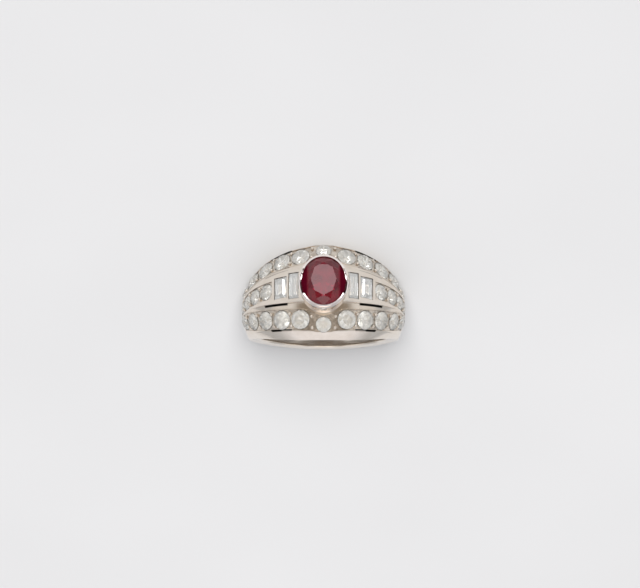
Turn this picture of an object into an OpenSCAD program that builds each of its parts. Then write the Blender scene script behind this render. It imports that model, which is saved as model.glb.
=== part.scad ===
// Ruby and diamond band ring, in millimetres.
// It lies on the rim of one side, with the ruby facing forward, toward -Y.

/* [Band] */
// Diameter of the finger hole
bore_d = 17; // [16:0.1:18]
// Diameter of the outline seen along the finger
outline_d = 22; // [21.6:0.1:23]
// Shift of that outline toward the ruby, which makes the head thick and the back thin
head_shift = 1.1; // [0.9:0.05:1.3]
// Slope of the flanks against the finger axis
flank_slope = 20; // [16:1:22]
// Radius at which both flanks would meet over the middle
flank_r = 11.48; // [11.3:0.01:11.7]
// Width of the back of the band
back_w = 2.6; // [2.4:0.02:2.62]

/* [Rim] */
// Slope of the plane on which the rim lies
rim_tilt = 16.5; // [15:0.5:18]
// Inner edge of the flat contact of the rim, measured from the finger axis toward the ruby
land_from = 7.6; // [7:0.1:8]
// Hollow of the rim between that contact and the back
rim_hollow = 0.7; // [0.3:0.05:0.8]
// Slope of the outer bevel of the rim
bevel_slope = 24; // [23:0.5:26]
// Shift of the centre of the bevel toward the ruby
bevel_shift = 5.2; // [5:0.05:5.4]
// Height of the tip of the cone on which the bevel lies
bevel_tip = 8.44; // [8.3:0.02:8.6]

/* [Middle band] */
// Half width of the middle band where it begins to stand out of the flanks
middle_half = 1.76; // [1.7:0.01:1.8]
// Distance of that place from the finger axis, toward the ruby
middle_kink = 8; // [7:0.1:8.5]
// Growth of the half width from there to the ruby
middle_growth = 0.19; // [0.17:0.005:0.2]
// Width of the openwork slits
slit_w = 0.28; // [0.25:0.01:0.4]
// Angle at which the openwork slits begin
slit_from = 27; // [25:1:29]
// Angle at which the openwork slits end
slit_to = 47; // [43:1:48]

/* [Ruby] */
// Width of the ruby, around the finger
ruby_w = 6; // [5.6:0.1:6.1]
// Length of the ruby, along the finger
ruby_l = 7; // [6.6:0.1:7.2]
// Distance of the ruby's girdle from the finger axis
ruby_at = 13; // [12.8:0.05:13.2]
// Thickness of the bezel's wall
bezel_wall = 0.3; // [0.25:0.01:0.32]
// Height of the two bezel arcs over the girdle
bezel_lip = 0.22; // [0.15:0.01:0.35]
// Half length of the open side of the bezel
bezel_gap = 1.75; // [1.4:0.05:2]

/* [Baguettes] */
// Length of the inner baguettes, along the finger
inner_l = 3.66; // [3.5:0.02:3.9]
// Length of the outer baguettes, along the finger
outer_l = 2.96; // [2.7:0.02:3.2]
// Width of the inner baguettes
inner_w = 1.4; // [1.2:0.05:1.45]
// Width of the outer baguettes
outer_w = 1.9; // [1.6:0.05:1.95]

/* [Diamond rows] */
// Diameter of the large stones of the side rows
side_d = 2.58; // [2.4:0.02:2.6]
// Distance of the side rows from the middle at the level of the finger axis
row_level = 1.3; // [1.24:0.01:1.36]
// Growth of that distance toward the ruby
row_growth = 0.31; // [0.29:0.005:0.32]
// Diameter of the largest stones of the middle row
middle_d = 2.28; // [2:0.02:2.3]
// Gap between each stone and the metal
gap = 0.04; // [0.03:0.01:0.06]

/* [Hidden] */
bore_r = bore_d / 2;
outline_r = outline_d / 2;
back_r = outline_r - head_shift;
rim_growth = tan(rim_tilt);
// Half width of the band at the finger axis, so that the rim's plane passes the edge of the back
rim_half = back_w / 2 + back_r * rim_growth;
rest_height = rim_half * cos(rim_tilt);
reach = 15;

// The ruby's cut: the table's share of its width and length, and the heights of its parts
ruby_table = [0.57, 0.67];
ruby_crown = 0.9;
ruby_girdle = 0.16;
ruby_pavilion = 2.6;
// The nearest and the farthest point of the lying ring, between which it is centred
ruby_top = ruby_at + ruby_girdle / 2 + ruby_crown;
near_y = -ruby_top * cos(rim_tilt) - ruby_table[1] * ruby_l / 2 * sin(rim_tilt);
far_y = back_r * cos(rim_tilt) + back_w / 2 * sin(rim_tilt);

// Each row holds an angle from the ruby about the outline's centre, and a diameter, or a width and a length
side_table = [[18.6, side_d], [34.6, side_d], [50.6, side_d - 0.05], [66.2, side_d - 0.2], [81, side_d - 0.5]];
middle_table = [[45.2, middle_d], [58, middle_d - 0.08], [70.5, middle_d - 0.23], [81.5, middle_d - 0.53]];
baguette_table = [[21.5, inner_w, inner_l], [31.9, outer_w, outer_l]];
// The middle stone of each side row is pushed outward by the bezel
centre_d = 2.1;
centre_z = 5.3;
side_sink = 0.1;
middle_sink = 0.16;
baguette_sink = 0.16;

// Proportions of the cut stones, as shares of their diameter
crown = 0.15;
girdle = 0.03;
pavilion = 0.42;
drill = 0.28;
oval_sides = 48;
// Depth under the girdle and size of each step of the ruby's seat
seat_steps = [[0.2, 1], [0.7, 0.97], [1.3, 0.78], [3.2, 0.55]];

SIDES = ["left", "right"];
PLACES = ["inner", "outer"];
baguette_keys = [for (s = [0, 1], p = [0, 1]) [s, p]];
middle_keys = [for (s = [0, 1], i = [0 : len(middle_table) - 1]) [s, i]];
row_steps = len(side_table);
row_keys = [for (s = [0, 1], i = [-row_steps : row_steps]) [s, i]];

function baguette_name(k) = str("baguette_", SIDES[k[0]], "_", PLACES[k[1]]);
function middle_name(k) = str("middle_diamond_", SIDES[k[0]], "_", k[1] + 1);
function row_name(k) = str(["upper", "lower"][k[0]], "_diamond_", k[1] + row_steps + 1);

// Where the side rows run: a height along the finger at which the sloping flank crosses the row's plane
function row_z(a) =
    (row_level + row_growth * (head_shift + flank_r * cos(a)))
    / (1 + row_growth * tan(flank_slope) * cos(a));
function flank_at(z) = flank_r - tan(flank_slope) * z;
function rim_z(y) = rim_half - rim_growth * y;
function middle_z(y) = middle_half + middle_growth * (y - middle_kink);
function side_of(s) = 2 * s - 1;

// Puts the ring on its side
module lying() {
    translate([0, -(near_y + far_y) / 2, rest_height]) rotate([-rim_tilt, 0, 0]) children();
}

// Sets a piece on the outline: its own Z points outward, and its Y runs along the finger
module set_at(angle, radius, z, lean) {
    translate([0, -head_shift, 0])
        rotate([0, 0, angle])
            translate([0, -radius, z])
                rotate([90 - lean, 0, 0]) children();
}

// Draws a side view: its X runs toward the back and its Y along the finger
module side_view(width) {
    rotate([90, 0, 90]) linear_extrude(width, center = true) children();
}

module both_rims() {
    for (m = [0, 1]) mirror([0, 0, m]) children();
}

function ring_of(n, rx, ry, z, turn) =
    [for (i = [0 : n - 1]) [rx * cos(turn + i * 360 / n), ry * sin(turn + i * 360 / n), z]];

// A brilliant cut: table, stars, kites and halves over the girdle, halves and mains under it
module brilliant(size, table, crown_h, girdle_h, depth) {
    rx = size[0] / 2;
    ry = size[1] / 2;
    tx = table[0];
    ty = table[1];
    mid = (1.25 + (tx + ty) / 2) / 2.25;
    low = 0.24;
    half = 22.5;
    // The kites are flat, so the ring between table and girdle lies on their plane
    mid_z = girdle_h / 2 + crown_h * (1 - mid * cos(half)) / (1 - (tx + ty) / 2);
    low_z = -girdle_h / 2 - depth * (1 - low * cos(half));
    points = concat(
        ring_of(8, rx * tx, ry * ty, girdle_h / 2 + crown_h, 0),
        ring_of(8, rx * mid, ry * mid, mid_z, half),
        ring_of(16, rx, ry, girdle_h / 2, 0),
        ring_of(16, rx, ry, -girdle_h / 2, 0),
        ring_of(8, rx * low, ry * low, low_z, half),
        [[0, 0, -girdle_h / 2 - depth]]
    );
    function t(i) = i % 8;
    function m(i) = 8 + i % 8;
    function u(i) = 16 + i % 16;
    function l(i) = 32 + i % 16;
    function p(i) = 48 + i % 8;
    culet = 56;
    faces = concat(
        [[for (i = [7 : -1 : 0]) t(i)]],
        [for (i = [0 : 7]) [t(i), t(i + 1), m(i)]],
        [for (i = [0 : 7]) [t(i), m(i), u(2 * i), m(i + 7)]],
        [for (i = [0 : 7], h = [0, 1]) [m(i), u(2 * i + h + 1), u(2 * i + h)]],
        [for (i = [0 : 15]) [u(i), u(i + 1), l(i + 1), l(i)]],
        [for (i = [0 : 7], h = [0, 1]) [l(2 * i + h), l(2 * i + h + 1), p(i)]],
        [for (i = [0 : 7]) [l(2 * i), p(i), culet, p(i + 7)]]
    );
    polyhedron(points, faces);
}

module round_diamond(d) {
    brilliant([d, d], [0.56, 0.56], crown * d, girdle * d, pavilion * d);
}

// A step cut: each level holds an inset from the outline and a height
module step_cut(w, l) {
    levels = [[0.22, 0.24], [0.1, 0.16], [0, 0.03], [0, -0.03], [0.14, -0.26], [0.3, -0.44], [0.46, -0.54]];
    corners = [[-1, -1], [1, -1], [1, 1], [-1, 1]];
    points = [for (v = levels, c = corners) [c[0] * (w / 2 - v[0] * w), c[1] * (l / 2 - v[0] * w), v[1] * w]];
    last = len(levels) - 1;
    faces = concat(
        [[3, 2, 1, 0]],
        [for (v = [0 : last - 1], c = [0 : 3]) [4 * v + c, 4 * v + (c + 1) % 4, 4 * v + 4 + (c + 1) % 4, 4 * v + 4 + c]],
        [[for (c = [0 : 3]) 4 * last + c]]
    );
    polyhedron(points, faces);
}

// The oval outline of the ruby, made larger by a margin
module oval(margin, size) {
    a = ruby_w / 2 * size + margin;
    b = ruby_l / 2 * size + margin;
    polygon([for (i = [0 : oval_sides - 1]) [a * cos(i * 360 / oval_sides), b * sin(i * 360 / oval_sides)]]);
}

// What is cut away for a round stone: its seat, and the drilled hole under it
module round_seat(d) {
    r = d / 2 + gap;
    low = girdle * d / 2 + gap;
    rotate_extrude($fn = 48)
        polygon([
            [0, -reach / 3],
            [drill * d, -reach / 3],
            [drill * d, -low - (r - drill * d) * 2 * pavilion],
            [r, -low],
            [r, reach / 6],
            [0, reach / 6]
        ]);
}

module row_stone_place(k) {
    a = k[1] == 0 ? 0 : sign(k[1]) * side_table[abs(k[1]) - 1][0];
    z = k[1] == 0 ? centre_z : row_z(abs(a));
    mirror([0, 0, k[0]])
        set_at(a, flank_at(z), z, flank_slope)
            translate([0, 0, -side_sink]) children();
}

function row_stone_d(k) = k[1] == 0 ? centre_d : side_table[abs(k[1]) - 1][1];

module middle_stone_place(k) {
    set_at(side_of(k[0]) * middle_table[k[1]][0], outline_r - middle_sink, 0, 0) children();
}

module baguette_place(k) {
    set_at(side_of(k[0]) * baguette_table[k[1]][0], outline_r - baguette_sink, 0, 0) children();
}

// The plain round blank, thick at the head, with two sloping flanks
module blank() {
    shoulder = (flank_r - outline_r) / tan(flank_slope);
    edge = 9;
    inner = bore_r - head_shift - 1;
    translate([0, -head_shift, 0])
        rotate_extrude($fn = 96)
            polygon([
                [inner, -edge],
                [flank_at(edge), -edge],
                [outline_r, -shoulder],
                [outline_r, shoulder],
                [flank_at(edge), edge],
                [inner, edge]
            ]);
}

// The rim seen from the side: flat where it lies, hollowed toward the back
module rim_outline() {
    back_y = reach;
    half = back_w / 2;
    from = [-land_from, rim_z(-land_from)];
    to = [back_r, half];
    chord = norm(to - from);
    hollow_r = (chord * chord / 4 + rim_hollow * rim_hollow) / (2 * rim_hollow);
    across = [-(to - from)[1], (to - from)[0]] / chord;
    centre = (from + to) / 2 + across * (hollow_r - rim_hollow);
    difference() {
        polygon([
            [-reach, -rim_z(-reach)],
            [-land_from, -rim_z(-land_from)],
            [back_r, -half],
            [back_y, -half],
            [back_y, half],
            [back_r, half],
            [-land_from, rim_z(-land_from)],
            [-reach, rim_z(-reach)]
        ]);
        for (m = [0, 1]) mirror([0, m]) translate(centre) circle(r = hollow_r, $fn = 200);
    }
}

// The cones that bevel the outer edges of both rims
module rim_bevels() {
    translate([0, -bevel_shift, 0])
        rotate_extrude($fn = 96)
            polygon([[0, -bevel_tip], [bevel_tip / tan(bevel_slope), 0], [0, bevel_tip]]);
}

// The raised middle band, which widens toward the ruby
module middle_band() {
    // Here it is still narrower than the round blank, so its end lies inside
    narrow = middle_kink - 3;
    half_width = 4;
    intersection() {
        translate([0, -head_shift, 0]) cylinder(r = outline_r, h = 2 * half_width, center = true, $fn = 96);
        side_view(2 * reach)
            polygon([
                [-narrow, -middle_z(narrow)],
                [-narrow, middle_z(narrow)],
                [-reach, middle_z(reach)],
                [-reach, -middle_z(reach)]
            ]);
    }
}

// The oval wall round the ruby, low at both sides and raised in two arcs
module bezel() {
    foot = 3;
    low_top = -0.3;
    translate([0, -ruby_at, 0]) rotate([90, 0, 0]) {
        translate([0, 0, -foot]) linear_extrude(foot + low_top) oval(bezel_wall + gap, 1);
        difference() {
            translate([0, 0, -foot]) linear_extrude(foot + bezel_lip) oval(bezel_wall + gap, 1);
            translate([0, 0, low_top + reach / 2]) cube([reach, 2 * bezel_gap, reach], center = true);
        }
    }
}

// Two small beads of metal beside the place where two stones nearly meet
module bead_pair(d) {
    bead_r = 0.31;
    across = 0.3 * d;
    for (v = [-1, 1]) translate([0, v * across, 0]) sphere(r = bead_r, $fn = 24);
}

// One pair in each gap of a side row
module row_beads() {
    stones = concat([[0, centre_d, centre_z]], [for (s = side_table) [s[0], s[1], row_z(s[0])]]);
    both_rims() for (m = [0, 1], i = [0 : row_steps - 1]) {
        spot = (stones[i] + stones[i + 1]) / 2;
        mirror([m, 0, 0]) set_at(spot[0], flank_at(spot[2]), spot[2], flank_slope) bead_pair(spot[1]);
    }
}

// One pair in each gap of the middle rows
module middle_beads() {
    for (m = [-1, 1], i = [0 : len(middle_table) - 2]) {
        spot = (middle_table[i] + middle_table[i + 1]) / 2;
        set_at(m * spot[0], outline_r - middle_sink, 0, 0) bead_pair(spot[1]);
    }
}

// What is cut away for the ruby, in steps that follow its lower cone
module ruby_seat() {
    translate([0, -ruby_at, 0]) rotate([90, 0, 0])
        for (i = [0 : len(seat_steps) - 1])
            translate([0, 0, -seat_steps[i][0]])
                linear_extrude(i == 0 ? reach : seat_steps[i][0] - seat_steps[i - 1][0] + gap)
                    oval(gap, seat_steps[i][1]);
}

// A rectangular seat for a baguette in two steps, with a smaller window under it
module baguette_seat(w, l) {
    // Each holds a top, a depth, and how far it stands inside the stone's outline across and along
    steps = [[reach, 0.3 * w, -gap, -gap], [0, 0.6 * w, 0.2, 0.2], [0, 4, 0.45, 1]];
    for (s = steps) {
        height = s[0] + s[1];
        translate([0, 0, height / 2 - s[1]]) cube([w - 2 * s[2], l - 2 * s[3], height], center = true);
    }
}

// A slit through the wall between two angles, in a plane that grows away from the middle
module slit(level, growth) {
    steps = 6;
    function at(i, r) =
        let (a = slit_from + (slit_to - slit_from) * i / steps) [r * sin(a), -head_shift - r * cos(a)];
    translate([0, 0, level]) rotate([-atan(growth), 0, 0])
        linear_extrude(slit_w, center = true)
            polygon(concat(
                [for (i = [0 : steps]) at(i, reach)],
                [for (i = [steps : -1 : 0]) at(i, bore_r - 2 * head_shift)]
            ));
}

module slits() {
    inner_level = middle_z(0) + slit_w / 2;
    outer_level = 2.85;
    both_rims() for (m = [0, 1]) mirror([m, 0, 0]) {
        slit(inner_level, middle_growth);
        slit(outer_level, rim_growth);
    }
}

// The soldered metal: band, flanks, bezel and beads in one piece
module band() {
    color("Silver") lying() difference() {
        union() {
            intersection() {
                blank();
                side_view(2 * reach) rim_outline();
                rim_bevels();
            }
            middle_band();
            bezel();
            row_beads();
            middle_beads();
        }
        cylinder(r = bore_r, h = 2 * reach, center = true, $fn = 128);
        for (k = row_keys) row_stone_place(k) round_seat(row_stone_d(k));
        for (k = middle_keys) middle_stone_place(k) round_seat(middle_table[k[1]][1]);
        for (k = baguette_keys) baguette_place(k) baguette_seat(baguette_table[k[1]][1], baguette_table[k[1]][2]);
        ruby_seat();
        slits();
    }
}

module ruby() {
    color("Crimson") lying()
        translate([0, -ruby_at, 0]) rotate([90, 0, 0])
            brilliant([ruby_w, ruby_l], ruby_table, ruby_crown, ruby_girdle, ruby_pavilion);
}

module baguette(k) {
    color("LightCyan") lying() baguette_place(k) step_cut(baguette_table[k[1]][1], baguette_table[k[1]][2]);
}

module middle_diamond(k) {
    color("AliceBlue") lying() middle_stone_place(k) round_diamond(middle_table[k[1]][1]);
}

module row_diamond(k) {
    color("AliceBlue") lying() row_stone_place(k) round_diamond(row_stone_d(k));
}

band();
ruby();
for (k = baguette_keys) baguette(k);
for (k = middle_keys) middle_diamond(k);
for (k = row_keys) row_diamond(k);
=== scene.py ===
import bmesh
import bpy
import math
from mathutils import Matrix, Vector


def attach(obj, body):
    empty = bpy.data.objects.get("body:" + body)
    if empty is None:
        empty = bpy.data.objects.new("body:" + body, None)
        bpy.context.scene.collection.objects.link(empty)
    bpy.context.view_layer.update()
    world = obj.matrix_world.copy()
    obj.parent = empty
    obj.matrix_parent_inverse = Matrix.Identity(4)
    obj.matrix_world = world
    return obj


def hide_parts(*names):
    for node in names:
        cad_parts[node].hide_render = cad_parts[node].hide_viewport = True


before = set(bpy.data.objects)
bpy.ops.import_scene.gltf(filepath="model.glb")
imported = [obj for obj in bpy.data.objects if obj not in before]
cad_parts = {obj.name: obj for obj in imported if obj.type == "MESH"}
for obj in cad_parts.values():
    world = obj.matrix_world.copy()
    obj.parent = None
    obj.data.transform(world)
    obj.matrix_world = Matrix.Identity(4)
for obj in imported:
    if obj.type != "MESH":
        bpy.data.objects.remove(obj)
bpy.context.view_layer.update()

# Lengths are millimetres about the finger axis, with the ruby toward -Y, until layDown puts them in metres
ring = dict(
    boreRadius=8.5, outlineRadius=11.0, headShift=1.1,  # the outline is shifted toward the ruby
    flankSlope=20.0, flankMeet=11.48, backWidth=2.6,  # flankMeet is the radius where the slopes would meet
    rimTilt=16.5, landFrom=7.6, rimHollow=0.7,  # a rim is flat past landFrom, and hollow toward the back
    bevelSlope=24.0, bevelShift=5.2, bevelTip=8.44,  # the cone that bevels a rim
    middleHalf=1.76, middleKink=8.0, middleGrowth=0.19,  # the raised middle, which widens toward the ruby
    shiftBack=2.1044,  # centres the lying ring
)
backRadius = ring["outlineRadius"] - ring["headShift"]
rimGrowth = math.tan(math.radians(ring["rimTilt"]))
rimHalf = ring["backWidth"] / 2 + backRadius * rimGrowth
restHeight = rimHalf * math.cos(math.radians(ring["rimTilt"]))
flankTan = math.tan(math.radians(ring["flankSlope"]))
shoulder = (ring["flankMeet"] - ring["outlineRadius"]) / flankTan
layDown = (
    Matrix.Scale(0.001, 4)
    @ Matrix.Translation((0, ring["shiftBack"], restHeight))
    @ Matrix.Rotation(-math.radians(ring["rimTilt"]), 4, "X")
)

# Angles of stones are in degrees from the ruby, and sink is how deep a girdle lies under the metal's surface
rubyStone = dict(width=6.0, length=7.0, away=13.0, gap=0.04)
sideRow = dict(
    angles=[18.6, 34.6, 50.6, 66.2, 81.0], sizes=[2.58, 2.58, 2.53, 2.38, 2.08],
    centreSize=2.1, centreLevel=5.3, level=1.3, growth=0.31, sink=0.1,
)
sideAngles = [0] + sideRow["angles"]
sideSizes = [sideRow["centreSize"]] + sideRow["sizes"]
middleRow = dict(angles=[45.2, 58.0, 70.5, 81.5], sizes=[2.28, 2.2, 2.05, 1.75], sink=0.16)
baguettes = dict(angles=[21.5, 31.9], widths=[1.4, 1.9], lengths=[3.66, 2.96], sink=0.16)


def spread(low, high, count):
    return [low + (high - low) * i / count for i in range(count + 1)]


def smoothStep(t):
    t = min(max(t, 0.0), 1.0)
    return t * t * (3 - 2 * t)


def around(angle, radius, level):
    # a point about the centre of the round outline, the angle in degrees from the ruby
    a = math.radians(angle)
    return Vector((radius * math.sin(a), -ring["headShift"] - radius * math.cos(a), level))


def flankAt(level):
    return min(ring["outlineRadius"], ring["flankMeet"] - flankTan * abs(level))


def middleLevel(ahead):
    return ring["middleHalf"] + ring["middleGrowth"] * (ahead - ring["middleKink"])


def plainLevel(angle):
    # where the sloping flank crosses the plane of a side row
    c = math.cos(math.radians(angle))
    growth = sideRow["growth"]
    ahead = ring["headShift"] + ring["flankMeet"] * c
    return (sideRow["level"] + growth * ahead) / (1 + growth * flankTan * c)


def rowLevel(angle):
    push = smoothStep(1 - abs(angle) / sideRow["angles"][0])  # the bezel pushes the row outward
    return plainLevel(angle) + (sideRow["centreLevel"] - plainLevel(0)) * push


weldDistance = 0.0004


def makeSolid(name, parts):
    # joins closed shells, each a pair of points and faces, into one object
    shape = bmesh.new()
    for points, faces in parts:
        own = [shape.verts.new(p) for p in points]
        for face in faces:
            shape.faces.new([own[i] for i in face])
    bmesh.ops.remove_doubles(shape, verts=shape.verts, dist=weldDistance)
    bmesh.ops.dissolve_degenerate(shape, edges=shape.edges, dist=weldDistance)
    bmesh.ops.recalc_face_normals(shape, faces=shape.faces)
    mesh = bpy.data.meshes.new(name)
    shape.to_mesh(mesh)
    shape.free()
    piece = bpy.data.objects.new(name, mesh)
    bpy.context.scene.collection.objects.link(piece)
    return piece


def loft(rows, closed):
    # skins a row of equal loops, closed on itself or capped at both ends
    count = len(rows[0])
    points = [p for row in rows for p in row]
    faces = []
    for i in range(len(rows) if closed else len(rows) - 1):
        a, b = i * count, (i + 1) % len(rows) * count
        faces += [(a + j, a + (j + 1) % count, b + (j + 1) % count, b + j) for j in range(count)]
    if not closed:
        faces += [tuple(range(count)), tuple(range(len(points) - count, len(points)))]
    return points, faces


def revolve(profile, sides, place):
    # turns a profile of radius and height, which begins and ends on the axis, about the Z axis of a place
    points = [place @ Vector((0, 0, profile[0][1])), place @ Vector((0, 0, profile[-1][1]))]
    rings = profile[1:-1]
    turns = spread(0, 2 * math.pi, sides)[:-1]
    for radius, level in rings:
        points += [place @ Vector((radius * math.cos(t), radius * math.sin(t), level)) for t in turns]
    faces = []
    for i in range(sides):
        n = (i + 1) % sides
        faces.append((0, 2 + n, 2 + i))
        for k in range(len(rings) - 1):
            a, b = 2 + k * sides, 2 + (k + 1) * sides
            faces.append((a + i, a + n, b + n, b + i))
        top = 2 + (len(rings) - 1) * sides
        faces.append((1, top + i, top + n))
    return points, faces


def paint(piece, material):
    piece.data.materials.clear()
    piece.data.materials.append(material)


def carve(piece, tool, how="DIFFERENCE"):
    step = piece.modifiers.new("carve", "BOOLEAN")
    step.operation, step.solver, step.object = how, "MANIFOLD", tool
    step.material_mode = "TRANSFER"  # cut walls keep the tool's finish
    graph = bpy.context.evaluated_depsgraph_get()
    mesh = bpy.data.meshes.new_from_object(piece.evaluated_get(graph))
    piece.modifiers.clear()
    old, piece.data = piece.data, mesh
    bpy.data.meshes.remove(old)
    bpy.data.objects.remove(tool)


def softCorners(corners, radii, steps, most=0.45):
    # rounds each inner corner of a flat line, over no more than a share of the edges beside it
    line = [corners[0]]
    for i in range(1, len(corners) - 1):
        here, before, after = corners[i], corners[i - 1], corners[i + 1]
        near = min(radii[i - 1], most * (before - here).length)
        far = min(radii[i - 1], most * (after - here).length)
        start = here + (before - here).normalized() * near if near > 0 else here
        end = here + (after - here).normalized() * far if far > 0 else here
        line += [start * (1 - t) ** 2 + here * 2 * t * (1 - t) + end * t * t for t in spread(0, 1, steps)]
    line.append(corners[-1])
    return line


def divide(line, at, count):
    # adds points to some edges of a line, each given by the number of its first point
    out = []
    for i, p in enumerate(line):
        out.append(p)
        if i in at:
            out += [p.lerp(line[i + 1], t) for t in spread(0, 1, count)[1:-1]]
    return out


# the hollow of a rim is an arc seen from the side, so x holds a point's Y here, and y holds its height
hollowFrom = Vector((-ring["landFrom"], rimHalf + rimGrowth * ring["landFrom"]))
hollowTo = Vector((backRadius, ring["backWidth"] / 2))
hollowChord = hollowTo - hollowFrom
hollowRadius = (hollowChord.length ** 2 / 4 + ring["rimHollow"] ** 2) / (2 * ring["rimHollow"])
hollowCentre = (hollowFrom + hollowTo) / 2 + (
    Vector((-hollowChord.y, hollowChord.x)).normalized() * (hollowRadius - ring["rimHollow"])
)


def rimPlane(point):
    # the height of the rim over a point: the plane that it lies on, or its hollow toward the back
    if hollowFrom.x < point.y < hollowTo.x:
        return hollowCentre.y - math.sqrt(hollowRadius ** 2 - (point.y - hollowCentre.x) ** 2)
    return rimHalf - rimGrowth * point.y


def rimBevel(point):
    away = math.hypot(point.x, point.y + ring["bevelShift"])
    return ring["bevelTip"] - math.tan(math.radians(ring["bevelSlope"])) * away


def crossing(low, high, difference, halvings=40):
    # the value at which a difference changes its sign
    signLow = difference(low) > 0
    for _ in range(halvings):
        mid = (low + high) / 2
        if (difference(mid) > 0) == signLow:
            low = mid
        else:
            high = mid
    return (low + high) / 2


# how far each edge is rounded; backOuter turns into outer between the cosines backUntil and headFrom of the
# angle from the ruby, and leastFlank is the least height that a flank keeps
edges = dict(
    comfort=0.3, rim=0.12, outer=0.1, backOuter=0.5, rail=0.09, foot=0.03,
    backUntil=-0.35, headFrom=0.55, leastFlank=0.02,
)
bandMesh = dict(sections=288, across=5, corner=4, sharpFrom=28)


def bandSection(angle):
    # half of the section through the band, from the outer middle to the middle of the finger hole
    c = math.cos(math.radians(angle))
    shift = ring["headShift"]
    inner = -shift * c + math.sqrt(ring["boreRadius"] ** 2 - shift ** 2 * (1 - c * c))
    outer = ring["outlineRadius"]

    def top(radius):
        point = around(angle, radius, 0)
        return min(rimPlane(point), rimBevel(point))

    def planeOverBevel(radius):
        point = around(angle, radius, 0)
        return rimPlane(point) - rimBevel(point)

    if top(outer) <= shoulder:
        edgeRadius = outer
    else:
        edgeRadius = crossing(inner, outer, lambda r: top(r) - (ring["flankMeet"] - r) / flankTan)
    edgeLevel = top(edgeRadius)
    if planeOverBevel(inner) > 0:
        ridge = inner
    elif planeOverBevel(edgeRadius) < 0:
        ridge = edgeRadius
    else:
        ridge = crossing(inner, edgeRadius, planeOverBevel)
    head = smoothStep((c - edges["backUntil"]) / (edges["headFrom"] - edges["backUntil"]))
    step = min(middleLevel(shift + outer * c), edgeLevel - edges["leastFlank"])
    low = Vector((flankAt(step), step)) if step > shoulder else Vector((outer, min(shoulder, edgeLevel)))
    high = Vector((outer, step)) if step > shoulder else low
    corners = [
        Vector((outer, 0)), high, low, Vector((edgeRadius, edgeLevel)),
        Vector((ridge, top(ridge))), Vector((inner, top(inner))), Vector((inner, 0)),
    ]
    radii = [
        edges["rail"], edges["foot"], edges["outer"] * head + edges["backOuter"] * (1 - head),
        edges["rim"], edges["comfort"],
    ]
    return softCorners(corners, radii, bandMesh["corner"])


def bandBody():
    rows = []
    size = bandMesh["corner"] + 1
    wide = [0, 2 * size, 4 * size, 5 * size]  # the edges of the middle, the flank, the rim and the bore
    for angle in spread(0, 360, bandMesh["sections"])[:-1]:
        half = divide(bandSection(angle), wide, bandMesh["across"])
        rest = [Vector((p.x, -p.y)) for p in reversed(half[1:-1])]
        rows.append([around(angle, p.x, p.y) for p in half + rest])
    return makeSolid("band_metal", [loft(rows, True)])


def seatPlace(angle, radius, level, lean):
    # a place on the metal's surface: its Z axis points out of the metal, and its Y axis lies across the band
    return (
        Matrix.Translation((0, -ring["headShift"], 0))
        @ Matrix.Rotation(math.radians(angle), 4, "Z")
        @ Matrix.Translation((0, -radius, level))
        @ Matrix.Rotation(math.radians(90 - lean), 4, "X")
    )


def rowPlace(angle, side):
    level = rowLevel(angle)
    place = seatPlace(angle, flankAt(level), level, ring["flankSlope"])
    return place if side > 0 else Matrix.Scale(-1, 4, (0, 0, 1)) @ place


def middlePlace(angle):
    return seatPlace(angle, ring["outlineRadius"], 0, 0)


def sizeAt(angle, angles, sizes):
    # the size of the stones at an angle along their row, which changes evenly from one to the next
    angle = abs(angle)
    if angle <= angles[0]:
        return sizes[0]
    for i in range(len(angles) - 1):
        if angle <= angles[i + 1]:
            return sizes[i] + (sizes[i + 1] - sizes[i]) * (angle - angles[i]) / (angles[i + 1] - angles[i])
    return sizes[-1]


def roundStones():
    # every round stone: its place on the metal's surface, its diameter, and how deep its girdle lies
    stones = []
    for side in (1, -1):
        stones.append((rowPlace(0, side), sideRow["centreSize"], sideRow["sink"]))
        for turn in (-1, 1):
            for angle, size in zip(sideRow["angles"], sideRow["sizes"]):
                stones.append((rowPlace(turn * angle, side), size, sideRow["sink"]))
    for turn in (-1, 1):
        for angle, size in zip(middleRow["angles"], middleRow["sizes"]):
            stones.append((middlePlace(turn * angle), size, middleRow["sink"]))
    return stones


# the channels that the round stones stand in, whose metal is painted darker as shade; floor, wall, lip and
# high are levels over the metal
channel = dict(
    floor=-0.13, wall=-0.04, lip=0.01, high=1.2, bevel=0.05, margin=0.05,
    sideEnd=87.5, sideSteps=120, middleFrom=39.2, middleEnd=87.0, middleSteps=40,
)


def trough(angles, placeOf, sizeOf):
    # a shallow channel along a row, with small bevels along its two rails
    rows = []
    for angle in angles:
        place, half = placeOf(angle), sizeOf(angle) / 2 + channel["margin"]
        lip = half + channel["bevel"]
        section = [
            (-half, channel["floor"]), (half, channel["floor"]),
            (half, channel["wall"]), (lip, channel["lip"]), (lip, channel["high"]),
            (-lip, channel["high"]), (-lip, channel["lip"]), (-half, channel["wall"]),
        ]
        rows.append([place @ Vector((0, v, h)) for v, h in section])
    return loft(rows, False)


def troughs():
    parts = []
    for side in (1, -1):
        parts.append(trough(
            spread(-channel["sideEnd"], channel["sideEnd"], channel["sideSteps"]),
            lambda a: rowPlace(a, side),
            lambda a: sizeAt(a, sideAngles, sideSizes),
        ))
    for turn in (-1, 1):
        parts.append(trough(
            [turn * a for a in spread(channel["middleFrom"], channel["middleEnd"], channel["middleSteps"])],
            middlePlace,
            lambda a: sizeAt(a, middleRow["angles"], middleRow["sizes"]),
        ))
    return makeSolid("troughs", parts)


# crest is the share of a rail's width that its flat top keeps
rail = dict(away=0.19, half=0.08, crest=0.5, height=0.07, root=-0.2, end=74, steps=100)


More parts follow.
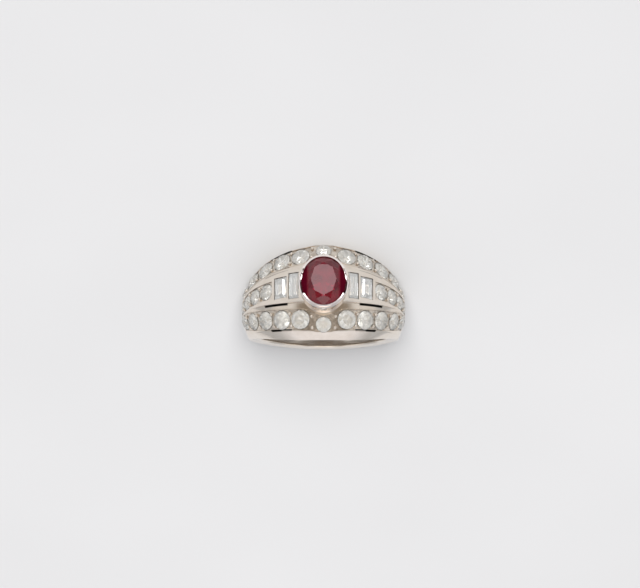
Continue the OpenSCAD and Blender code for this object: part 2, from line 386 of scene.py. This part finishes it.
def rails():
    # a fine raised line along the inner side of each side row
    section = [
        (-1, rail["root"]), (1, rail["root"]), (1, 0.0),
        (rail["crest"], rail["height"]), (-rail["crest"], rail["height"]), (-1, 0.0),
    ]
    parts = []
    for side in (1, -1):
        rows = []
        for angle in spread(-rail["end"], rail["end"], rail["steps"]):
            middle = -sizeAt(angle, sideAngles, sideSizes) / 2 - rail["away"]
            place = rowPlace(angle, side)
            rows.append([place @ Vector((0, middle + part * rail["half"], level)) for part, level in section])
        parts.append(loft(rows, False))
    return makeSolid("rails", parts)


# girdle, pavilion and drill, which is the hole's radius, are shares of a stone's diameter
seat = dict(gap=0.04, girdle=0.03, pavilion=0.42, drill=0.28, deep=4.4, high=1.1, sides=40)


def roundSeats():
    parts = []
    for place, size, sink in roundStones():
        radius = size / 2 + seat["gap"]
        low = seat["girdle"] * size / 2 + seat["gap"]
        hole = seat["drill"] * size
        cone = -low - (radius - hole) * 2 * seat["pavilion"]
        profile = [
            (0, -seat["deep"]), (hole, -seat["deep"]), (hole, cone),
            (radius, -low), (radius, seat["high"]), (0, seat["high"]),
        ]
        parts.append(revolve(profile, seat["sides"], place @ Matrix.Translation((0, 0, -sink))))
    return makeSolid("seats", parts)


bead = dict(radius=0.25, across=0.32, base=-0.5, steps=(0, 25, 50, 72), sides=14)


def gaps(angles, sizes):
    # the middle of each gap in a row, and the mean size of the two stones beside it
    return [((a + b) / 2, (s + t) / 2) for a, b, s, t in zip(angles, angles[1:], sizes, sizes[1:])]


def beadSpots():
    spots = []
    for angle, size in gaps(sideAngles, sideSizes):
        spots += [(rowPlace(turn * angle, side), size) for turn in (-1, 1) for side in (1, -1)]
    for angle, size in gaps(middleRow["angles"], middleRow["sizes"]):
        spots += [(middlePlace(turn * angle), size) for turn in (-1, 1)]
    return spots


def beads():
    # two small beads of metal beside each gap, which hold the stones on both sides of it
    parts = []
    radius = bead["radius"]
    turns = [math.radians(t) for t in bead["steps"]]
    dome = [(radius * math.cos(t), radius * math.sin(t)) for t in turns]
    profile = [(0, bead["base"]), (radius, bead["base"])] + dome + [(0, radius)]
    for place, size in beadSpots():
        for side in (-1, 1):
            away = Matrix.Translation((0, side * bead["across"] * size, 0))
            parts.append(revolve(profile, bead["sides"], place @ away))
    return makeSolid("beads", parts)


def boxLoft(place, width, length, low, high):
    x, y = width / 2, length / 2
    corners = [(-x, -y), (x, -y), (x, y), (-x, y)]
    return loft([[place @ Vector((*corner, level)) for corner in corners] for level in (low, high)], False)


# the steps of a baguette's seat: top, floor as a share of the width, and how far it stands inside the stone
baguetteSteps = [
    dict(top=3.0, floor=-0.3, across=-0.04, along=-0.04),
    dict(top=0.1, floor=-0.6, across=0.2, along=0.2),
    dict(top=0.1, floor=-3.0, across=0.45, along=1.0),  # a window into the finger hole
]


def baguetteSeats():
    tools = []
    for step in baguetteSteps:
        boxes = []
        for turn in (-1, 1):
            for angle, width, length in zip(baguettes["angles"], baguettes["widths"], baguettes["lengths"]):
                place = seatPlace(turn * angle, ring["outlineRadius"] - baguettes["sink"], 0, 0)
                size = (width - 2 * step["across"], length - 2 * step["along"])
                boxes.append(boxLoft(place, *size, step["floor"] * width, step["top"]))
        tools.append(makeSolid("baguette_seats", boxes))
    return tools


slit = dict(width=0.28, start=27, end=47, steps=14, outerLevel=2.85, inside=6.5, outside=13.0)


def slits():
    # the openwork: four slits on each side of the ruby, in planes that part toward it
    section = [(slit["inside"], -1), (slit["outside"], -1), (slit["outside"], 1), (slit["inside"], 1)]
    parts = []
    innerLevel = middleLevel(0) + slit["width"] / 2
    for level, growth in ((innerLevel, ring["middleGrowth"]), (slit["outerLevel"], rimGrowth)):
        thick = slit["width"] / 2 * math.hypot(1, growth)
        for side in (-1, 1):
            for turn in (-1, 1):
                rows = []
                for angle in spread(turn * slit["start"], turn * slit["end"], slit["steps"]):
                    row = []
                    for radius, up in section:
                        p = around(angle, radius, 0)
                        p.z = side * (level - growth * p.y + up * thick)
                        row.append(p)
                    rows.append(row)
                parts.append(loft(rows, False))
    return makeSolid("slits", parts)


# an oval wall round the ruby, low where the ruby's edge shows, and raised into two arcs with a folded lip;
# open is half of the gap between the arcs
bezel = dict(
    wall=0.3, foot=-2.9, lowTop=-0.3, under=0.3, sides=120,
    lip=0.24, fold=0.1, thick=0.13, open=1.75, arcSides=60,
)
rubyPlace = Matrix.Translation((0, -rubyStone["away"], 0)) @ Matrix.Rotation(math.radians(90), 4, "X")


def ovalPoint(turn, margin, level):
    # a point outside the ruby's outline by a margin, at a height over its girdle
    t = math.radians(turn)
    a, b = rubyStone["width"] / 2, rubyStone["length"] / 2
    edge = Vector((a * math.cos(t), b * math.sin(t)))
    edge += Vector((b * math.cos(t), a * math.sin(t))).normalized() * margin
    return rubyPlace @ Vector((*edge, level))


def bezelWall(turns, topLine, closed):
    # a wall from its foot up to a line of margins and heights, which runs from its inside to its outside
    section = [(topLine[0][0], bezel["foot"])] + topLine + [(topLine[-1][0], bezel["foot"])]
    return loft([[ovalPoint(t, m, z) for m, z in section] for t in turns], closed)


def lowBezel():
    gap, top = rubyStone["gap"], bezel["lowTop"]
    outer = gap + bezel["wall"]
    line = [
        (gap - bezel["under"], top), (gap + 0.05, top),  # under the ruby, where its seat is cut later
        (gap + 0.15, top + 0.04), (outer - 0.08, top + 0.02), (outer, top - 0.08),  # the rounded top
    ]
    turns = spread(0, 360, bezel["sides"])[:-1]
    return makeSolid("low_bezel", [bezelWall(turns, line, True)])


def highBezel():
    gap, lip = rubyStone["gap"], bezel["lip"]
    outer = gap + bezel["wall"]
    edge = math.degrees(math.asin(bezel["open"] / (rubyStone["length"] / 2)))
    rim, fold = gap + bezel["thick"], gap - bezel["fold"]
    line = [
        (gap, -0.12), (gap, 0.09),  # the inner face, beside the girdle
        (fold, lip - 0.03), (fold + 0.04, lip + 0.01),  # the lip that is folded over the ruby
        (rim - 0.03, lip), (rim, lip - 0.04), (rim, -0.02),  # its outer face
        (outer - 0.06, -0.05), (outer, -0.11), (outer, -0.25),  # the rounded step outside it
    ]
    parts = []
    for base in (0, 180):
        turns = spread(base + edge, base + 180 - edge, bezel["arcSides"])
        parts.append(bezelWall(turns, line, False))
    return makeSolid("high_bezel", parts)


# the ruby's seat from the top down: height over the girdle, room beside it, and share of its outline
rubySteps = [
    dict(level=3.0, room=rubyStone["gap"], share=1),
    dict(level=-0.14, room=rubyStone["gap"], share=1),
    dict(level=-0.75, room=0.05, share=0.8),
    dict(level=-1.7, room=0.05, share=0.44),
    dict(level=-5.0, room=0.05, share=0.44),  # a window into the finger hole
]
rubySides = 64


def rubySeat():
    rows = []
    for step in rubySteps:
        middle = rubyPlace @ Vector((0, 0, step["level"]))
        row = [ovalPoint(t, step["room"], step["level"]) for t in spread(0, 360, rubySides)[:-1]]
        rows.append([middle + (p - middle) * step["share"] for p in row])
    return makeSolid("ruby_seat", [loft(rows, False)])


def newFinish(name, sockets):
    material = bpy.data.materials.new(name)
    material.use_nodes = True
    tree = material.node_tree
    shader = tree.nodes["Principled BSDF"]
    for socket, value in sockets.items():
        shader.inputs[socket].default_value = value
    return material, tree, shader


def addNode(tree, kind, **sockets):
    node = tree.nodes.new(kind)
    for socket, value in sockets.items():
        node.inputs[socket].default_value = value
    return node


def addNoise(tree, size, detail, rough=0.5):
    # noise in the part's own coordinates; size is the width of its spots in metres
    place = tree.nodes.new("ShaderNodeTexCoord")
    noise = addNode(tree, "ShaderNodeTexNoise", Scale=1 / size, Detail=detail, Roughness=rough)
    tree.links.new(place.outputs["Object"], noise.inputs["Vector"])
    return noise.outputs["Fac"]


def addRamp(tree, factor, places, tones):
    # a ramp between two numbers or two colours
    ramp = tree.nodes.new("ShaderNodeValToRGB")
    for stop, place, tone in zip(ramp.color_ramp.elements, places, tones):
        stop.position = place
        stop.color = (*tone, 1) if isinstance(tone, tuple) else (tone, tone, tone, 1)
    tree.links.new(factor, ramp.inputs["Fac"])
    return ramp.outputs["Color"]


def addRange(tree, value, start, end, first, last):
    fade = tree.nodes.new("ShaderNodeMapRange")
    for i, number in enumerate((start, end, first, last)):
        fade.inputs[i + 1].default_value = number
    tree.links.new(value, fade.inputs["Value"])
    return fade.outputs["Result"]


def addMath(tree, operation, *values):
    node = tree.nodes.new("ShaderNodeMath")
    node.operation = operation
    for value, socket in zip(values, node.inputs):
        tree.links.new(value, socket)
    return node.outputs["Value"]


def addMix(tree, factor, first, last):
    mix = tree.nodes.new("ShaderNodeMix")
    mix.data_type = "RGBA"  # its two colours are inputs 6 and 7
    tree.links.new(factor, mix.inputs[0])
    for socket, colour in ((mix.inputs[6], first), (mix.inputs[7], last)):
        if isinstance(colour, tuple):
            socket.default_value = (*colour, 1)
        else:
            tree.links.new(colour, socket)
    return mix.outputs[2]


def addFacing(tree, normal, direction):
    # the cosine between a normal and a fixed direction
    facing = tree.nodes.new("ShaderNodeVectorMath")
    facing.operation = "DOT_PRODUCT"
    facing.inputs[1].default_value = direction
    tree.links.new(normal, facing.inputs[0])
    return facing.outputs["Value"]


def mottle(tree, shader, look):
    # a patchy colour between a look's shade and its light; spots is the width of its patches in metres
    noise = addNoise(tree, look["spots"], look["detail"])
    tone = addRamp(tree, noise, look["fade"], (look["shade"], look["light"]))
    tree.links.new(tone, shader.inputs["Base Color"])


# the polished metal, and a paler, less yellow copy of it on the bezel that is painted brighter as a
# highlight; smooth and worn are its two roughnesses
polish = dict(
    white_gold=dict(
        light=(0.84, 0.77, 0.69), shade=(0.76, 0.68, 0.59), spots=0.0016, detail=3, fade=(0.3, 0.7),
        smooth=0.1, worn=0.2, bump=0.08,
    ),
    bezel_painted_highlight=dict(
        light=(0.97, 0.9, 0.87), shade=(0.92, 0.84, 0.8), spots=0.0016, detail=3, fade=(0.3, 0.7),
        smooth=0.08, worn=0.16, bump=0.05,
    ),
)
wear = dict(spots=0.0007, detail=6, rough=0.65, fade=(0.35, 0.75))
dents = dict(spots=0.0004, detail=4, depth=0.00002)


def brightGold(name):
    look = polish[name]
    material, tree, shader = newFinish(name, {"Metallic": 1.0})
    mottle(tree, shader, look)
    patches = addNoise(tree, wear["spots"], wear["detail"], wear["rough"])
    gloss = addRamp(tree, patches, wear["fade"], (look["smooth"], look["worn"]))
    tree.links.new(gloss, shader.inputs["Roughness"])
    bump = addNode(tree, "ShaderNodeBump", Strength=look["bump"], Distance=dents["depth"])
    tree.links.new(addNoise(tree, dents["spots"], dents["detail"]), bump.inputs["Height"])
    tree.links.new(bump.outputs["Normal"], shader.inputs["Normal"])
    return material


# metal painted near black as shade on the walls of the narrow slits, and metal painted darker as shade in the
# channels between the stones
paintedRecessShades = dict(
    slit_painted_shade=dict(
        light=(0.1, 0.085, 0.07), shade=(0.05, 0.042, 0.035), spots=0.0006, detail=3, fade=(0.4, 0.6),
        rough=0.55,
    ),
    channel_painted_shade=dict(
        light=(0.76, 0.69, 0.61), shade=(0.54, 0.48, 0.41), spots=0.0006, detail=3, fade=(0.4, 0.6),
        rough=0.25,
    ),
)


# a metal painted darker as shade, in one of the tones above
def paintedShadeGold(name):
    look = paintedRecessShades[name]
    material, tree, shader = newFinish(name, {"Metallic": 1.0, "Roughness": look["rough"]})
    mottle(tree, shader, look)
    return material


def makeBand():
    band = bandBody()
    paint(band, brightGold("white_gold"))
    print("band: body", len(band.data.polygons))
    channels, low, high, openwork = troughs(), lowBezel(), highBezel(), slits()
    # the bezel gets the paler copy of the metal, a painted highlight
    bezelHighlight = brightGold("bezel_painted_highlight")
    # the channels between the stones are painted darker as shade
    paint(channels, paintedShadeGold("channel_painted_shade"))
    paint(low, bezelHighlight)
    paint(high, bezelHighlight)
    # the walls that the slits cut are painted near black as shade
    paint(openwork, paintedShadeGold("slit_painted_shade"))
    carve(band, channels)
    for tool in (rails(), beads(), low):
        carve(band, tool, "UNION")
    print("band: relief", len(band.data.polygons))
    for tool in (roundSeats(), *baguetteSeats(), rubySeat(), openwork):
        carve(band, tool)
        print("band: cut", len(band.data.polygons))
    carve(band, high, "UNION")
    band.data.shade_smooth()
    band.data.set_sharp_from_angle(angle=math.radians(bandMesh["sharpFrom"]))
    band.data.transform(layDown)
    print("band: done", len(band.data.polygons))
    return band


# clear is the share of light that passes through, and the rest is the milky look of many tiny facets
gems = dict(
    ruby=dict(
        index=1.77, level=0.0, tint=(1.0, 0.97, 0.98), clear=0.75,
        light=(0.25, 0.001, 0.016), shade=(0.14, 0.001, 0.01), spots=0.002, detail=2, fade=(0.35, 0.65),
    ),
    diamond=dict(
        index=2.42, level=0.5, tint=(1.0, 1.0, 1.0), clear=0.84,
        light=(1.0, 0.99, 0.94), shade=(0.95, 0.92, 0.84), spots=0.001, detail=2, fade=(0.35, 0.65),
    ),
    baguette=dict(
        index=2.42, level=0.5, tint=(1.0, 1.0, 1.0), clear=0.78,
        light=(0.97, 0.97, 0.95), shade=(0.9, 0.9, 0.87), spots=0.001, detail=2, fade=(0.35, 0.65),
    ),
)


def gem(name):
    look = gems[name]
    material, tree, shader = newFinish(name, {
        "IOR": look["index"], "Specular IOR Level": look["level"], "Specular Tint": (*look["tint"], 1),
        "Transmission Weight": look["clear"], "Roughness": 0.0,
    })
    mottle(tree, shader, look)
    return material


# the ruby keeps these shares of its own look in its table and in its ears, the two ends between the bezel's
# arcs, and is deep red for the rest; the milkier table is a painted reflection, and the nearly opaque deep
# red ears are painted shade; the table's limits are cosines with its axis, and the ears' are metres
rubyPaintedLight = dict(
    table=0.42, tableFrom=0.95, tableTo=0.97,
    ears=0.03, earFrom=0.0019, earTo=0.0023,
    # deep is the dark red that the painted table and the painted ears are mixed toward
    deep=(0.042, 0.0005, 0.005),
)


def addPaintedRubyLight(material):
    tree = material.node_tree
    shader = tree.nodes["Principled BSDF"]
    clear, colour = shader.inputs["Transmission Weight"], shader.inputs["Base Color"]
    tilt = math.radians(ring["rimTilt"])
    place, form = tree.nodes.new("ShaderNodeTexCoord"), tree.nodes.new("ShaderNodeNewGeometry")
    facing = addFacing(tree, form.outputs["True Normal"], (0, -math.cos(tilt), math.sin(tilt)))
    table = addRange(tree, facing, rubyPaintedLight["tableFrom"], rubyPaintedLight["tableTo"], 1, rubyPaintedLight["table"])
    split = tree.nodes.new("ShaderNodeSeparateXYZ")
    tree.links.new(place.outputs["Object"], split.inputs["Vector"])
    aside = addMath(tree, "ABSOLUTE", split.outputs["X"])
    ears = addRange(tree, aside, rubyPaintedLight["earFrom"], rubyPaintedLight["earTo"], 1, rubyPaintedLight["ears"])
    # the table, as painted reflection, and the ears, as painted shade, lose transmission and mix toward the
    # deep red
    paintedShare = addMath(tree, "MULTIPLY", table, ears)
    tree.links.new(addRange(tree, paintedShare, 0, 1, 0, clear.default_value), clear)
    tree.links.new(addMix(tree, paintedShare, rubyPaintedLight["deep"], colour.links[0].from_socket), colour)


# the photograph's view: elevation in degrees, distance and size of a pixel in millimetres, and the pixel
# that shows the middle of the finger hole; nearest and farthest are in metres
camera = dict(
    elevation=37.0, away=900.0, scale=0.1355, centreX=323.6, centreY=315.2, width=640, height=588,
    sensor=36, nearest=0.01, farthest=20,
)


def addCamera():
    # the ring lies on its side, and the photograph shows it from its head, turned upside down
    rise = math.radians(camera["elevation"])
    back = Vector((0, -math.cos(rise), math.sin(rise)))
    up = Vector((0, -math.sin(rise), -math.cos(rise)))
    right = up.cross(back)
    lens = bpy.data.cameras.new("camera")
    lens.sensor_width = camera["sensor"]
    lens.lens = camera["sensor"] * camera["away"] / (camera["scale"] * camera["width"])
    lens.shift_x = -(camera["centreX"] - camera["width"] / 2) / camera["width"]
    lens.shift_y = (camera["centreY"] - camera["height"] / 2) / camera["width"]
    lens.clip_start, lens.clip_end = camera["nearest"], camera["farthest"]
    eye = bpy.data.objects.new("camera", lens)
    bpy.context.scene.collection.objects.link(eye)
    turn = Matrix((right, up, back)).transposed().to_4x4()
    eye.matrix_world = Matrix.Translation(layDown @ Vector((0, 0, 0)) + back * camera["away"] / 1000) @ turn
    bpy.context.scene.camera = eye


# a soft tent of round patches: each is turned from the ruby's side and risen over the floor, in degrees
tent = dict(
    dome=(0.5, 0.51, 0.53),
    patches=[
        dict(turn=0, rise=64, core=8, edge=28, tone=(1.5, 1.48, 1.44)),  # a bright panel over the ruby
        dict(turn=180, rise=48, core=16, edge=44, tone=(0.95, 0.94, 0.98)),  # a card behind
        dict(turn=66, rise=26, core=8, edge=30, tone=(0.78, 0.76, 0.74)),  # and two at the sides
        dict(turn=-66, rise=26, core=8, edge=30, tone=(0.78, 0.76, 0.74)),
        dict(turn=0, rise=36, core=6, edge=18, tone=(0.62, 0.55, 0.48)),  # the opening and its dark frame
        dict(turn=31, rise=33, core=6, edge=18, tone=(0.3, 0.25, 0.2)),
        dict(turn=-31, rise=33, core=6, edge=18, tone=(0.3, 0.25, 0.2)),
    ],
)


def addTent():
    world = bpy.data.worlds.new("tent")
    world.use_nodes = True
    tree = world.node_tree
    place = tree.nodes.new("ShaderNodeTexCoord")
    colour = tent["dome"]
    for patch in tent["patches"]:
        turn, rise = math.radians(patch["turn"]), math.radians(patch["rise"])
        flat = math.cos(rise)
        direction = (math.sin(turn) * flat, -math.cos(turn) * flat, math.sin(rise))
        facing = addFacing(tree, place.outputs["Generated"], direction)
        near, far = math.cos(math.radians(patch["core"])), math.cos(math.radians(patch["edge"]))
        fade = addRange(tree, facing, far, near, 0, 1)
        fade.node.interpolation_type = "SMOOTHSTEP"
        colour = addMix(tree, fade, colour, patch["tone"])
    tree.links.new(colour, tree.nodes["Background"].inputs["Color"])
    bpy.context.scene.world = world


window = dict(rise=28, spread=24, strength=4.7)


def addWindow():
    # a wide low light from the ruby's side, which lights the floor and lays the shadow behind the ring
    lamp = bpy.data.lights.new("window", "SUN")
    lamp.energy, lamp.angle = window["strength"], math.radians(window["spread"])
    sun = bpy.data.objects.new("window", lamp)
    sun.rotation_euler = (math.radians(90 - window["rise"]), 0, 0)
    sun.visible_glossy = sun.visible_transmission = False
    bpy.context.scene.collection.objects.link(sun)


strip = dict(away=0.09, width=0.05, height=0.008, power=0.0077)  # in metres and watts


def addStrip():
    # a low strip light before the ruby, for reflections alone
    lamp = bpy.data.lights.new("strip", "AREA")
    lamp.shape, lamp.energy = "RECTANGLE", strip["power"]
    lamp.size, lamp.size_y = strip["width"], strip["height"]
    card = bpy.data.objects.new("strip", lamp)
    card.location = (0, -strip["away"], strip["height"] / 2)
    card.rotation_euler = (math.radians(90), 0, 0)
    card.visible_camera = card.visible_diffuse = False
    bpy.context.scene.collection.objects.link(card)


# a pale matt floor; half, the half of its side, is in metres
floorFinish = dict(
    half=2.5, rough=0.6, level=0.0,
    light=(0.59, 0.59, 0.594), shade=(0.57, 0.57, 0.574), spots=0.05, detail=2, fade=(0.3, 0.7),
)


def addFloor():
    half = floorFinish["half"]
    corners = [(-half, -half, 0), (half, -half, 0), (half, half, 0), (-half, half, 0)]
    floor = makeSolid("floor", [(corners, [(0, 1, 2, 3)])])
    material, tree, shader = newFinish("pale_floor", {
        "Roughness": floorFinish["rough"], "Specular IOR Level": floorFinish["level"],
    })
    mottle(tree, shader, floorFinish)
    paint(floor, material)


addCamera()
addTent()
addWindow()
addStrip()
addFloor()
print("camera, light and floor: done")

band = makeBand()
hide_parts("band")
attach(band, "root")

finishes = {name: gem(name) for name in gems}
addPaintedRubyLight(finishes["ruby"])
for name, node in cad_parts.items():
    if name != "band":
        kind = name.split("_")[0]
        paint(node, finishes[kind if kind in gems else "diamond"])
print("stones: done", len(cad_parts) - 1)

bpy.context.scene.view_settings.view_transform = "Standard"
